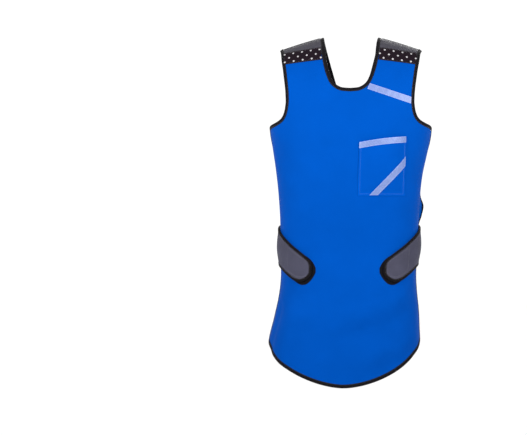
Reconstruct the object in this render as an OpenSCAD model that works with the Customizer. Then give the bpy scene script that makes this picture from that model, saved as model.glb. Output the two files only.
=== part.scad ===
// Wrap-round protective apron with padded shoulder yokes and a stretch waist belt, in its
// worn shape. X runs across the wearer, the front faces -Y and Z is up. The origin is midway
// between the shoulders, level with the inner ends of the shoulder line.

/* [Overall] */
// Length from the shoulder line to the lowest point of the hem
apron_length = 1003; // [980:1:1030]
// Half the width at the armpit corners
chest_half = 233; // [228:1:238]
// Half the width at the waist
waist_half = 194; // [190:1:198]
// Half the width of the skirt at its widest
hem_half = 221; // [216:1:226]
// Depth from the body's middle to the front of the chest
chest_depth = 124; // [118:1:130]
// How far the skirt hangs to one side at the hem
hem_sway = 20; // [0:1:24]

/* [Shoulders and neck] */
// Half the distance between the outer ends of the shoulder line
shoulder_half = 203; // [198:1:206]
// Half the width of the neck opening at the shoulder line
neck_half = 80; // [72:1:84]
// Depth of the front neckline below the shoulder line
neck_drop = 146; // [140:1:150]
// Height of the shoulder arch above the level of the shoulder blades
arch_h = 230; // [225:1:235]

/* [Layers] */
// Thickness of the outer and the inner cloth
cloth_t = 0.8; // [0.6:0.1:0.9]
// Thickness of each protective sheet
shield_t = 1.0; // [0.8:0.1:1.1]
// Gap between neighbouring layers
layer_gap = 0.3; // [0.2:0.05:0.35]
// How much the shoulder foam swells inward at its middle
foam_swell = 4; // [2:0.5:6]

/* [Edge binding] */
// Width of the binding on the panel and yokes
binding_w = 9; // [7:0.5:11]
// Width of the binding on the belt
belt_binding_w = 7; // [6:0.5:8]
// Thickness of the binding tape
binding_t = 0.9; // [0.7:0.1:1.0]

/* [Belt] */
// Thickness of the belt webbing
belt_t = 2.5; // [2:0.1:3]
// Height of the belt webbing above the cover where the hook and loop pads meet
belt_lift = 3.6; // [3.5:0.1:3.8]
// Height of the belt webbing above the back panel
back_belt_lift = 2.6; // [2.5:0.1:2.8]
// Wrap angle of the hinge line at the wearer's side
side_hinge_angle = 98; // [96:0.5:99]
// Wrap angle of the hinge line half way along the belt end
tip_hinge_angle = 60; // [58:0.5:62]

/* [Pocket and tapes] */
// Width of the reflective tapes
tape_w = 20; // [18:1:22]
// Where the pocket's inner edge lies across the chest
pocket_x0 = 27; // [24:1:32]
// Where the pocket's outer edge lies across the chest
pocket_x1 = 160; // [155:1:168]
// Depth of the pocket's bottom edge below the shoulder line
pocket_drop = 454; // [446:1:460]
// How far the pocket mouth stands open at its middle
pocket_gape = 11; // [9:0.5:12]

/* [Hidden] */

// The body section is a superellipse; its exponent sets how square the corners are
section_k = 2.4;
// Depths of the layers below the outer face of the outer cloth
shield1_d = cloth_t + layer_gap;
shield2_d = shield1_d + shield_t + layer_gap;
lining_d = shield2_d + shield_t + layer_gap;
stack_t = lining_d + cloth_t;
// Height of a trim or tape above the face that it is sewn to
trim_gap = 0.3;
trim_t = 0.9;
skirt_top = -742;
skirt_bottom = -862;
armpit_z = -264;

// Control points, each [height, value]
half_widths = [[-apron_length, hem_half + 7], [-900, hem_half], [-800, hem_half - 14],
               [-700, waist_half], [-600, waist_half + 3], [-500, waist_half + 6],
               [-400, chest_half - 24], [-300, chest_half - 6], [-230, chest_half + 5],
               [-146, 262], [-60, 300], [10, 330]];
front_depths = [[-apron_length, 136], [-850, 124], [-650, 108], [-550, 110],
                [-400, chest_depth - 3], [-300, chest_depth], [-arch_h, 120], [10, 120]];
back_depths = [[-apron_length, 120], [-700, 104], [-560, 96], [-400, 97],
               [-arch_h, 100], [10, 100]];
// Wrap angle of the panel's side edge
side_angles = [[skirt_top, 90], [-700, 96], [-640, 100], [-500, 102], [-400, 104],
               [-330, 103], [-290, 97], [armpit_z, 90]];
// Sideways lean of the apron, as a share of the hem's sway
lean_shares = [[-apron_length, 0.9], [-900, 1], [-850, 0.87], [-800, 0.6], [-747, 0.42],
               [-650, 0.35], [-570, 0.25], [-400, 0.22], [-345, 0.12], [-290, 0.05], [10, 0]];
// Half-width of the back panel
back_halves = [[-560, 88], [-500, 80], [-420, 70], [-330, 84], [-250, 113]];
// Edges of the belt, each [wrap angle, height]
belt_uppers = [[27.5, -652], [29, -641], [33, -629], [39, -616], [48, -600], [60, -580],
               [75, -560], [98, -542], [130, -530], [180, -525]];
belt_lowers = [[27.5, -676], [29, -684], [33, -694], [39, -699], [48, -694], [60, -678],
               [75, -660], [98, -645], [130, -632], [180, -625]];
// Edges of the loop pad, each [wrap angle, height]
pad_uppers = [[24, -660], [26, -648], [29, -637], [33, -628], [40, -619], [52, -604], [66, -588]];
pad_lowers = [[24, -674], [26, -686], [29, -698], [33, -707], [40, -708], [52, -692], [66, -674]];
// Armhole edge, each [distance from the middle, height at the edge, height at the middle]
armhole = [[chest_half - 2, -255, -246], [218, -247, -228], [203, -238, -209],
           [193, -226, -190], [187, -208, -168], [184, -185, -neck_drop]];
// Strap above the neckline's lowest point: distance and height of its edge, then of the neckline
strap_front = [[185, -160, 28, -142.5], [187, -138, 47.5, -129], [190, -115, 58.5, -108],
               [193, -92, 67, -80], [198, -61, 73.8, -46]];
panel_cols = 7;

// ---- Curves and the body surface ----

function mix(a, b, f) = a + (b - a) * f;

function segment(table, u, i = 0) =
    (i >= len(table) - 2 || u < table[i + 1][0]) ? i : segment(table, u, i + 1);

function slope(table, i) =
    let (a = table[max(i - 1, 0)], b = table[min(i + 1, len(table) - 1)])
    (b[1] - a[1]) / (b[0] - a[0]);

// Smooth curve through a table's points
function smooth(table, u) =
    let (i = segment(table, u), p = table[i], q = table[i + 1], h = q[0] - p[0],
         s = max(0, min(1, (u - p[0]) / h)))
    (2 * s ^ 3 - 3 * s ^ 2 + 1) * p[1] + (s ^ 3 - 2 * s ^ 2 + s) * h * slope(table, i)
    + (3 * s ^ 2 - 2 * s ^ 3) * q[1] + (s ^ 3 - s ^ 2) * h * slope(table, i + 1);

function half_width(z) = smooth(half_widths, z);

// Height of the shoulder line at a distance from the middle
function ridge(x) = 16.5 - 0.323 * (sqrt(x ^ 2 + 1600) - 40);

// Angle from the top of the shoulder arch: 0 on the ridge, 90 below the arch
function arch_angle(x, z) =
    z > -arch_h ? acos(min(1, (z + arch_h) / (arch_h + ridge(x)))) : 90;

function sway(z) = -hem_sway * smooth(lean_shares, z);

// Point on the body at wrap angle a (0 front, 90 side, 180 back), raised by d
function body_point(a, z, d) =
    let (w = half_width(z), s = sin(a), c = cos(a),
         x = w * sign(s) * pow(abs(s), 2 / section_k),
         t = arch_angle(x, z),
         depth = c >= 0 ? smooth(front_depths, z) : smooth(back_depths, z))
    [x * (w + d) / w + sway(z),
     -sign(c) * (depth + d) * sin(t) * pow(abs(c), 2 / section_k),
     z + d * cos(t)];

// Outward normal of the body at a place [wrap angle, height]
function body_normal(p) =
    let (n = cross(body_point(p[0] + 0.5, p[1], 0) - body_point(p[0] - 0.5, p[1], 0),
                   body_point(p[0], p[1] + 1, 0) - body_point(p[0], p[1] - 1, 0)))
    n / norm(n);

// Points on the body at a list of places, raised by d
function raised(places, d) = [for (p = places) body_point(p[0], p[1], d)];

function reversed(list) = [for (k = [len(list) - 1:-1:0]) list[k]];

// Wrap angle of a point at distance x from the middle of the front
function front_angle(x, z) =
    sign(x) * asin(min(1, pow(abs(x) / half_width(z), section_k / 2)));

function front_point(x, z, d) = body_point(front_angle(x, z), z, d);

function back_point(x, z, d) = body_point(180 - front_angle(x, z), z, d);

// Place over the shoulder at distance x, t degrees before (+) or behind (-) the ridge
function shoulder_place(x, t) =
    let (z = -arch_h + (arch_h + ridge(x)) * cos(t))
    [t >= 0 ? front_angle(x, z) : 180 - front_angle(x, z), z];

function shoulder_point(x, t, d) =
    let (p = shoulder_place(x, t)) body_point(p[0], p[1], d);

// ---- Solids from grids of points ----

// Triangles of a sheet of n rows and m columns, outer grid first, with its rims.
// The left and right rims start at the given rows.
function sheet_faces(m, n, base, left_from, right_from) =
    let (o = function(i, j) base + j * m + i,
         v = function(i, j) base + m * n + j * m + i)
    [for (j = [0:n - 2]) for (i = [0:m - 2])
        each [[o(i, j), o(i, j + 1), o(i + 1, j + 1)], [o(i, j), o(i + 1, j + 1), o(i + 1, j)],
              [v(i, j), v(i + 1, j + 1), v(i, j + 1)], [v(i, j), v(i + 1, j), v(i + 1, j + 1)]],
     for (i = [0:m - 2])
        each [[o(i, 0), o(i + 1, 0), v(i + 1, 0)], [o(i, 0), v(i + 1, 0), v(i, 0)],
              [o(i + 1, n - 1), o(i, n - 1), v(i, n - 1)],
              [o(i + 1, n - 1), v(i, n - 1), v(i + 1, n - 1)]],
     for (j = [0:n - 2]) if (j >= left_from)
        each [[o(0, j + 1), o(0, j), v(0, j)], [o(0, j + 1), v(0, j), v(0, j + 1)]],
     for (j = [0:n - 2]) if (j >= right_from)
        each [[o(m - 1, j), o(m - 1, j + 1), v(m - 1, j + 1)],
              [o(m - 1, j), v(m - 1, j + 1), v(m - 1, j)]]];

function flat(grid) = [for (row = grid) each row];

// Closed sheet between two grids of points of the same size
module sheet(outer, inner)
    polyhedron(concat(flat(outer), flat(inner)),
               sheet_faces(len(outer[0]), len(outer), 0, 0, 0));

// Folded tape round a cloth edge that runs through a list of places, with the cloth's outer
// face raised by d at each place. Wings reach w onto the cloth. Each end is cut square to the
// edge, or along its direction in cuts where that is given.
module binding(places, d, cloth, w, closed = false, cuts = []) {
    path = [for (k = [0:len(places) - 1]) body_point(places[k][0], places[k][1], d[k] - cloth / 2)];
    ups = [for (p = places) body_normal(p)];
    n = len(path);
    half = cloth / 2;
    profile = [[-w, half + 0.1 + binding_t], [1.2, half + 0.1 + binding_t],
               [1.2, -half - 0.1 - binding_t], [-w, -half - 0.1 - binding_t],
               [-w, -half - 0.1], [0.2, -half - 0.1], [0.2, half + 0.1], [-w, half + 0.1]];
    m = len(profile);
    points = [for (k = [0:n - 1])
        let (before = closed ? path[(k + n - 1) % n] : path[max(k - 1, 0)],
             after = closed ? path[(k + 1) % n] : path[min(k + 1, n - 1)],
             along = after - before,
             cut = len(cuts) == 0 ? undef : k == 0 ? cuts[0] : k == n - 1 ? cuts[1] : undef,
             out = is_undef(cut) ? cross(along, ups[k]) / norm(cross(along, ups[k])) : cut,
             up = cross(out, along) / norm(cross(out, along)))
        for (p = profile) path[k] + out * p[0] + up * p[1]];
    // The inner faces are cut along the other diagonal, so that both faces of a wall match
    sides = [for (k = [0:n - (closed ? 1 : 2)]) for (i = [0:m - 1])
        let (a = k * m + i, b = k * m + (i + 1) % m,
             c = ((k + 1) % n) * m + (i + 1) % m, e = ((k + 1) % n) * m + i)
        each i < 4 ? [[a, b, c], [a, c, e]] : [[a, b, e], [b, c, e]]];
    ends = closed ? [] : [for (q = [[0, 1, 6, 7], [1, 2, 5, 6], [2, 3, 4, 5]])
        each [[q[3], q[2], q[1], q[0]], [for (v = q) (n - 1) * m + v]]];
    polyhedron(points, concat(sides, ends));
}

// ---- Front panel ----

// Rows of the panel from the hem up: [height at middle, height at edge, wrap angle at middle,
// wrap angle at edge, extra drop of the hem curve]
skirt_rows = [for (f = [0:0.2:1]) let (z = mix(skirt_bottom, skirt_top, f))
    [z, z, 0, 90, (apron_length + skirt_bottom) * (1 - f)]];
trunk_rows = [for (z = [-706, -670, -634, -598, -562, -526, -490, -454, -418, -382, -348, -316, -288,
                        armpit_z])
    [z, z, 0, smooth(side_angles, z), 0]];
chest_rows = [for (p = armhole) [p[2], p[1], 0, front_angle(p[0], p[1]), 0]];
strap_rows = [for (p = strap_front)
    [p[3], p[1], front_angle(p[2], p[3]), front_angle(p[0], p[1]), 0]];
panel_rows = concat(skirt_rows, trunk_rows, chest_rows, strap_rows);
row_count = len(panel_rows);
neck_row = row_count - len(strap_rows) - 1;

// Place on the panel's row j, a fraction f of the way from the middle to the edge
function panel_place(side, j, f) =
    let (r = panel_rows[j])
    [side * mix(r[2], r[3], f), mix(r[0], r[1], f) - r[4] * (1 - pow(1 - cos(90 * f), 0.72))];

function half_panel(side, d) =
    [for (j = [0:row_count - 1]) raised([for (i = [0:panel_cols])
        panel_place(side, j, side > 0 ? i / panel_cols : 1 - i / panel_cols)], d)];

// One layer of the front panel between two depths below its outer face
module panel_layer(depth, thickness) {
    m = panel_cols + 1;
    points = concat(flat(half_panel(-1, -depth)), flat(half_panel(-1, -depth - thickness)),
                    flat(half_panel(1, -depth)), flat(half_panel(1, -depth - thickness)));
    polyhedron(points, concat(sheet_faces(m, row_count, 0, 0, neck_row),
                              sheet_faces(m, row_count, 2 * m * row_count, neck_row, 0)));
}

module outer_cover() color("#0064e0") panel_layer(0, cloth_t);

module shield_sheet_outer() color("#4a4a50") panel_layer(shield1_d, shield_t);

module shield_sheet_inner() color("#55555c") panel_layer(shield2_d, shield_t);

module inner_lining() color("#1c3f8c") panel_layer(lining_d, cloth_t);

// Edge of the panel from the left shoulder seam round the hem to the right shoulder seam
perimeter = concat(
    [for (j = [row_count - 1:-1:0]) panel_place(-1, j, 1)],
    [for (i = [panel_cols - 1:-1:0]) panel_place(-1, 0, i / panel_cols)],
    [for (i = [1:panel_cols - 1]) panel_place(1, 0, i / panel_cols)],
    [for (j = [0:row_count - 1]) panel_place(1, j, 1)]);

// Binding round an edge of the panel, the yokes or the back panel
module panel_binding(places, closed = false) color("#2b282c")
    binding(places, [for (p = places) 0], stack_t, binding_w, closed);

module perimeter_binding() panel_binding(perimeter);

// ---- Shoulder yokes and back ----

// Rows of a yoke: arch angle at the neck edge and at the arm edge
yoke_rows = [[36.6, 28.6], [24, 19], [12, 9.5], [0, 0], [-15, -15], [-30, -30], [-45, -45],
             [-60, -60], [-75, -75], [-90, -90]];
yoke_end_z = -250;
yoke_cols = 5;

// Half-width of the back neckline at a drop below the shoulder line
function back_neck_x(drop) = neck_half * (1 - 0.87 * pow(-drop / yoke_end_z, 1.2));

function yoke_neck_x(t) =
    t >= 0 ? neck_half - 6.2 * t / yoke_rows[0][0] : back_neck_x(arch_h * (1 - cos(t)));

function yoke_arm_x(t) = t >= 0 ? shoulder_half - 5 * t / 29
    : shoulder_half - 90 * pow(1 - cos(t), 0.8);

function back_place(x, z) = [180 - front_angle(x, z), z];

// Place on a yoke's row j, a fraction f of the way from the neck to the arm
function yoke_place(side, j, f) =
    j < len(yoke_rows)
    ? let (r = yoke_rows[j])
      shoulder_place(side * mix(yoke_neck_x(r[0]), yoke_arm_x(r[1]), f), mix(r[0], r[1], f))
    : back_place(side * mix(back_neck_x(-yoke_end_z), smooth(back_halves, yoke_end_z), f),
                 yoke_end_z);

// Swelling of the shoulder foam: full on the ridge, none at the edges
function swell(j, f) = j >= len(yoke_rows) ? 0
    : foam_swell * sin(180 * f) * pow(max(0, cos(yoke_rows[j][0] * 1.2)), 2);

function yoke_grid(side, depth, swollen, inset = 0, last = len(yoke_rows)) =
    [for (j = [0:last]) [for (i = [0:yoke_cols])
        let (g = side > 0 ? i / yoke_cols : 1 - i / yoke_cols, f = mix(inset, 1 - inset, g),
             p = yoke_place(side, j, f))
        body_point(p[0], p[1], -depth - (swollen ? swell(j, f) : 0))]];

module shoulder_yoke(side) color("#64626c")
    sheet(yoke_grid(side, 0, false), yoke_grid(side, cloth_t, false));

module shoulder_foam(side) color("#d8d2b8")
    sheet(yoke_grid(side, shield1_d, false, 0.1, 7), yoke_grid(side, lining_d - layer_gap, true, 0.1, 7));

module yoke_lining(side) color("#1c3f8c")
    sheet(yoke_grid(side, lining_d, true), yoke_grid(side, stack_t, true));

module left_shoulder_yoke() shoulder_yoke(-1);

module right_shoulder_yoke() shoulder_yoke(1);

module left_shoulder_foam() shoulder_foam(-1);

module right_shoulder_foam() shoulder_foam(1);

module left_yoke_lining() yoke_lining(-1);

module right_yoke_lining() yoke_lining(1);

// Strip of decorative webbing over the seam between the panel and a yoke
module dot_band(side) {
    grid = function(d) [for (v = [0:0.5:1]) [for (i = [0:6])
        let (f = side > 0 ? i / 6 : 1 - i / 6)
        front_point(side * mix(mix(81, 86, v), 188, f), mix(mix(-64, -78, f), mix(-29, -45, f), v),
                    d)]];
    color("#241c24") sheet(grid(2 * trim_gap + trim_t), grid(2 * trim_gap));
}

module left_dot_band() dot_band(-1);

module right_dot_band() dot_band(1);

// Narrow tape along the top of the shoulder
module shoulder_seam(side) {
    tape_angle = 2.4;
    grid = function(d) [for (t = [tape_angle, 0, -tape_angle]) [for (i = [0:6])
        let (f = side > 0 ? i / 6 : 1 - i / 6)
        shoulder_point(side * mix(neck_half + binding_w + 1, shoulder_half - binding_w - 1, f), t, d)]];
    color("#2b282c") sheet(grid(trim_gap + trim_t), grid(trim_gap));
}

module left_shoulder_seam() shoulder_seam(-1);

module right_shoulder_seam() shoulder_seam(1);

back_heights = [-559, -530, -495, -455, -415, -375, -330, -290, -250.6];

function back_panel_grid(d) = [for (j = [len(back_heights) - 1:-1:0]) [for (i = [-4:4])
    back_point(-i / 4 * smooth(back_halves, back_heights[j]), back_heights[j], d)]];

module back_panel() color("#64626c")
    sheet([for (row = back_panel_grid(0)) [for (i = [8:-1:0]) row[i]]],
          [for (row = back_panel_grid(-stack_t)) [for (i = [8:-1:0]) row[i]]]);

// Neck opening: over one shoulder, up and down the back, over the other and round the front
neck_edge = let (j_top = row_count - 1, k_last = len(yoke_rows))
    concat([for (k = [1:k_last]) yoke_place(-1, k, 0)],
           [for (k = [k_last:-1:1]) yoke_place(1, k, 0)],
           [for (j = [j_top:-1:neck_row + 1]) panel_place(1, j, 0)],
           [for (j = [neck_row:j_top]) panel_place(-1, j, 0)]);

module neck_binding() panel_binding(neck_edge, closed = true);

// Outer edge of a yoke and of the back panel, from the front seam down to the belt
function strap_edge(side) = concat(
    [for (k = [0:len(yoke_rows)]) yoke_place(side, k, 1)],
    [for (j = [len(back_heights) - 2:-1:1])
        back_place(side * smooth(back_halves, back_heights[j]), back_heights[j])]);

module strap_binding(side)
    panel_binding(side > 0 ? strap_edge(side) : reversed(strap_edge(side)));

module left_strap_binding() strap_binding(-1);

module right_strap_binding() strap_binding(1);

// ---- Belt ----

// The belt lies closer to the back panel than to the front, where the pads are under it
function belt_d(a) = mix(belt_lift, back_belt_lift, max(0, min(1, (abs(a) - 110) / 40)));

// Place on the belt at wrap angle a, a fraction v of the way up its width
function belt_place(a, v) =
    let (b = abs(a) > 180 ? 360 - abs(a) : abs(a))
    [a, mix(smooth(belt_lowers, b), smooth(belt_uppers, b), v)];

function belt_point(a, v, d) = body_point(a, belt_place(a, v)[1], belt_d(min(abs(a), 360 - abs(a))) + d);

function belt_grid(angles, d) = [for (v = [0:0.25:1]) [for (a = angles) belt_point(a, v, d)]];

// Half the slit between two lengths of belt, in degrees of wrap
slit = 0.14;
tip_angles = [27.5, 28.5, 30.5, 33.5, 38, 43, 48, 54, tip_hinge_angle - slit];
side_link_angles = [for (i = [0:5]) mix(tip_hinge_angle + slit, side_hinge_angle - slit, i / 5)];
back_angles = [for (i = [0:18]) mix(side_hinge_angle + slit, 360 - side_hinge_angle - slit, i / 18)];

function mirrored(angles, side) = side > 0 ? angles : -reversed(angles);

module belt_length(angles) color("#64626c")
    sheet(belt_grid(angles, belt_t), belt_grid(angles, 0));

// Direction across the belt at a wrap angle, out of the upper (v = 1) or the lower (v = 0) edge
function belt_cut(a, v) =
    let (across = belt_point(a, v, 0) - belt_point(a, 1 - v, 0)) across / norm(across);

// Binding round an edge of the belt that runs through a list of [wrap angle, fraction v]
module belt_binding(edge) color("#2b282c") {
    last = edge[len(edge) - 1];
    binding([for (e = edge) belt_place(e[0], e[1])],
            [for (e = edge) belt_d(min(abs(e[0]), 360 - abs(e[0]))) + belt_t], belt_t, belt_binding_w,
            cuts = [belt_cut(edge[0][0], edge[0][1]), belt_cut(last[0], last[1])]);
}

module belt_strips(angles) {
    belt_binding([for (a = reversed(angles)) [a, 1]]);
    belt_binding([for (a = angles) [a, 0]]);
}

// Binding round the rounded end of a belt tip
module tip_binding(side) {
    ends = concat([for (a = reversed(tip_angles)) [side * a, 1]], [[side * tip_angles[0], 0.5]],
                  [for (a = tip_angles) [side * a, 0]]);
    belt_binding(side > 0 ? ends : reversed(ends));
}

module back_belt() belt_length(back_angles);

module back_belt_binding() belt_strips(back_angles);

module left_belt_side() belt_length(mirrored(side_link_angles, -1));

module right_belt_side() belt_length(side_link_angles);

module left_belt_side_binding() belt_strips(mirrored(side_link_angles, -1));

module right_belt_side_binding() belt_strips(side_link_angles);

module left_belt_tip() belt_length(mirrored(tip_angles, -1));

module right_belt_tip() belt_length(tip_angles);

module left_belt_tip_binding() tip_binding(-1);

module right_belt_tip_binding() tip_binding(1);

// Hook pad sewn inside the binding under a belt tip
module hook_pad(side) {
    angles = mirrored([33.5, 38, 43, 48, 54, 56], side);
    grid = function(d) [for (v = [0.14, 0.5, 0.86]) [for (a = angles) belt_point(a, v, d)]];
    color("#18171a") sheet(grid(-trim_gap), grid(-1.5));
}

module left_hook_pad() hook_pad(-1);

module right_hook_pad() hook_pad(1);

// Loop pad sewn to the front of the panel under a belt tip
module loop_pad(side) {
    angles = mirrored([24, 25.5, 27.5, 28.5, 30.5, 33.5, 38, 43, 48, 54, 60, 66], side);
    grid = function(d) [for (v = [0:0.25:1]) [for (a = angles)
        body_point(a, mix(smooth(pad_lowers, abs(a)), smooth(pad_uppers, abs(a)), v), d)]];
    color("#18171a") sheet(grid(1.6), grid(0.4));
}

module left_loop_pad() loop_pad(-1);

module right_loop_pad() loop_pad(1);

// ---- Pocket and reflective tapes ----

// Height of the pocket mouth, which climbs a little towards the arm
function mouth_z(x) =
    let (f = (x - pocket_x0) / (pocket_x1 - pocket_x0)) mix(-300, -283, f) + 3 * sin(180 * f);

// Clearance behind the pocket: none along the three sewn sides, widest at the mouth
function gape(x, z) =
    let (f = (x - pocket_x0) / (pocket_x1 - pocket_x0),
         g = max(0, min(1, (z + pocket_drop) / (mouth_z(x) + pocket_drop))))
    pocket_gape * pow(max(0, sin(180 * f)), 0.6) * (1 - pow(1 - g, 3));

function pocket_grid(d) = [for (v = [0:0.125:1]) [for (i = [0:10])
    let (x = mix(pocket_x0, pocket_x1, i / 10), z = mix(-pocket_drop, mouth_z(x), v))
    front_point(x, z, gape(x, z) + d)]];

module pocket_panel() color("#0060da") sheet(pocket_grid(1.3), pocket_grid(trim_gap));

// Tape over the pocket's mouth edge
module pocket_tape() {
    grid = function(d) [for (v = [0:0.5:1]) [for (i = [0:10])
        let (x = mix(pocket_x0 + 1, pocket_x1 - 1, i / 10), z = mouth_z(x) - 1 - (1 - v) * (tape_w - 3))
        front_point(x, z, gape(x, z) + d)]];
    color("#b4b9e8") sheet(grid(2.1), grid(1.6));
}

// Tape across the pocket's outer lower corner, cut flush with its edges
module diagonal_tape() {
    grid = function(d) [for (v = [0:0.5:1]) [for (i = [0:10])
        let (x = mix(mix(83, pocket_x1 - 1, i / 10), mix(60, pocket_x1 - 1, i / 10), v),
             z = mix(mix(-pocket_drop + 2, -368, i / 10), mix(-pocket_drop + 2, -341, i / 10), v))
        front_point(x, z, gape(x, z) + d)]];
    color("#b4b9e8") sheet(grid(2.2), grid(1.7));
}

// Tape across the chest from the neckline to the armhole
module chest_tape() {
    grid = function(d) [for (v = [0:0.5:1]) [for (i = [0:8])
        let (x = mix(mix(50, 174, i / 8), mix(57, 175, i / 8), v),
             z = mix(mix(-147.5, -189.5, i / 8), mix(-132, -171, i / 8), v))
        front_point(x, z, d)]];
    color("#b4b9e8") sheet(grid(1.0), grid(0.5));
}

outer_cover();
shield_sheet_outer();
shield_sheet_inner();
inner_lining();
perimeter_binding();
neck_binding();
left_shoulder_yoke();
right_shoulder_yoke();
left_shoulder_foam();
right_shoulder_foam();
left_yoke_lining();
right_yoke_lining();
left_dot_band();
right_dot_band();
left_shoulder_seam();
right_shoulder_seam();
left_strap_binding();
right_strap_binding();
back_panel();
back_belt();
back_belt_binding();
left_loop_pad();
right_loop_pad();
pocket_panel();
pocket_tape();
diagonal_tape();
chest_tape();
left_belt_side();
left_belt_side_binding();
left_belt_tip();
left_belt_tip_binding();
left_hook_pad();
right_belt_side();
right_belt_side_binding();
right_belt_tip();
right_belt_tip_binding();
right_hook_pad();
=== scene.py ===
import math

import bmesh
import bpy
import numpy as np
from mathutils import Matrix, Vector


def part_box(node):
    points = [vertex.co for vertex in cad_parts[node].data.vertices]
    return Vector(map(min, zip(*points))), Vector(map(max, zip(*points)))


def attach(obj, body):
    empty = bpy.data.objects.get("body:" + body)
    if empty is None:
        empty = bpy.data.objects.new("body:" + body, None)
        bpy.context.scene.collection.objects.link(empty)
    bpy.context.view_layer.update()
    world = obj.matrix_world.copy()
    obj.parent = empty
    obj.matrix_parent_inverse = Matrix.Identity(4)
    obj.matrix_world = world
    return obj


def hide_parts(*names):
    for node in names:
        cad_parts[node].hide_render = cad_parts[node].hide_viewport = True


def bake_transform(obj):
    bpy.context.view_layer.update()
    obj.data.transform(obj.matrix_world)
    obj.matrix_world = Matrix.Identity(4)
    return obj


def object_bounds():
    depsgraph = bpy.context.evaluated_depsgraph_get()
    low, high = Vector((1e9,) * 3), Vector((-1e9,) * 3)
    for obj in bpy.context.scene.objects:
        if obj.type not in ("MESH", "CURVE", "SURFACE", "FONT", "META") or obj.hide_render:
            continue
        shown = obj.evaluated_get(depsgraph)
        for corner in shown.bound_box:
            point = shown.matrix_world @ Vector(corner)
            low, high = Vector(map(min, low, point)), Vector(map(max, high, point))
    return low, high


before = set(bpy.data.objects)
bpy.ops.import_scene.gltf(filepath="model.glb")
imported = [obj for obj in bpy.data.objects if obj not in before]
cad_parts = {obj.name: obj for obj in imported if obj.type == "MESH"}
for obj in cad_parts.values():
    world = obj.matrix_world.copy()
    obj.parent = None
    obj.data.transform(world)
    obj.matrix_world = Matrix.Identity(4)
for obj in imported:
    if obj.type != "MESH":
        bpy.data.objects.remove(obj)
cad_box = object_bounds()

# Protective apron in its worn shape. Sizes are in millimetres, as in the CAD design, and are
# turned into metres where the meshes are made. Wrap angle 0 is the front, 90 the wearer's
# side at +X and 180 the back.
MM = 0.001
SIDES = {"left": -1, "right": 1}

# ---- Driving sizes ----

APRON_LENGTH = -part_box("outer_cover")[0].z / MM
CHEST_HALF = 233
WAIST_HALF = 194
HEM_HALF = 221
CHEST_DEPTH = 124
HEM_SWAY = 20
SHOULDER_HALF = 203
NECK_HALF = 80
NECK_DROP = 146
ARCH_H = 230
RIDGE_H = 16.5
RIDGE_FALL = 0.323
RIDGE_ROUND = 40
SECTION_K = 2.4
SKIRT_TOP = -742
SKIRT_BOTTOM = -862
ARMPIT_Z = -264
BACK_NARROWING = 0.87
YOKE_END_Z = -250

CLOTH_T = 0.8
SHIELD_T = 1.0
LAYER_GAP = 0.3
SHIELD1_D = CLOTH_T + LAYER_GAP
SHIELD2_D = SHIELD1_D + SHIELD_T + LAYER_GAP
LINING_D = SHIELD2_D + SHIELD_T + LAYER_GAP
STACK_T = LINING_D + CLOTH_T
FOAM_SWELL = 4

BINDING_W = 9
BELT_BINDING_W = 7
BINDING_T = 0.9
BELT_T = 2.5
BELT_LIFT = 3.6
BACK_BELT_LIFT = 2.6

POCKET_X = (27, 160)
POCKET_BOTTOM = -454
POCKET_GAPE = 11
# Width and height that the pocket's turned edges are spaced by
POCKET_SPAN = (138, 160)
TAPE_W = 20

# Control points, each [height, value]
HALF_WIDTHS = [[-APRON_LENGTH, HEM_HALF + 7], [-900, HEM_HALF], [-800, HEM_HALF - 14],
               [-700, WAIST_HALF], [-600, WAIST_HALF + 3], [-500, WAIST_HALF + 6],
               [-400, CHEST_HALF - 24], [-300, CHEST_HALF - 6], [-ARCH_H, CHEST_HALF + 5],
               [-146, 262], [-60, 300], [10, 330]]
FRONT_DEPTHS = [[-APRON_LENGTH, 136], [-850, 124], [-650, 108], [-550, 110],
                [-400, CHEST_DEPTH - 3], [-300, CHEST_DEPTH], [-ARCH_H, 120], [10, 120]]
BACK_DEPTHS = [[-APRON_LENGTH, 120], [-700, 104], [-560, 96], [-400, 97], [-ARCH_H, 100], [10, 100]]
SIDE_ANGLES = [[SKIRT_TOP, 90], [-700, 96], [-640, 100], [-500, 102], [-400, 104],
               [-330, 103], [-290, 97], [ARMPIT_Z, 90]]
BACK_HALVES = [[-560, 88], [-500, 80], [-420, 70], [-330, 84], [-250, 113]]
BELT_UPPERS = [[27.5, -652], [29, -641], [33, -629], [39, -616], [48, -600], [60, -580],
               [75, -560], [98, -542], [130, -530], [180, -525]]
BELT_LOWERS = [[27.5, -676], [29, -684], [33, -694], [39, -699], [48, -694], [60, -678],
               [75, -660], [98, -645], [130, -632], [180, -625]]
PAD_UPPERS = [[24, -660], [26, -648], [29, -637], [33, -628], [40, -619], [52, -604], [66, -588]]
PAD_LOWERS = [[24, -674], [26, -686], [29, -698], [33, -707], [40, -708], [52, -692], [66, -674]]
ARMHOLE = [[CHEST_HALF - 2, -255, -246], [218, -247, -228], [203, -238, -209],
           [193, -226, -190], [187, -208, -168], [184, -185, -NECK_DROP]]
STRAP_FRONT = [[185, -160, 28, -142.5], [187, -138, 47.5, -129], [190, -115, 58.5, -108],
               [193, -92, 67, -80], [198, -61, 73.8, -46]]
YOKE_ROWS = [[36.6, 28.6], [24, 19], [12, 9.5], [0, 0], [-15, -15], [-30, -30], [-45, -45],
             [-60, -60], [-75, -75], [-90, -90]]

# Where one length of belt ends and the next begins, and where each bends
BELT_SPLITS = (27.5, 79, 112)
SIDE_BEND = (109, 86)
TIP_BEND = (62, 38)
HOOK_PAD_ANGLES = (33.5, 56)

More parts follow.
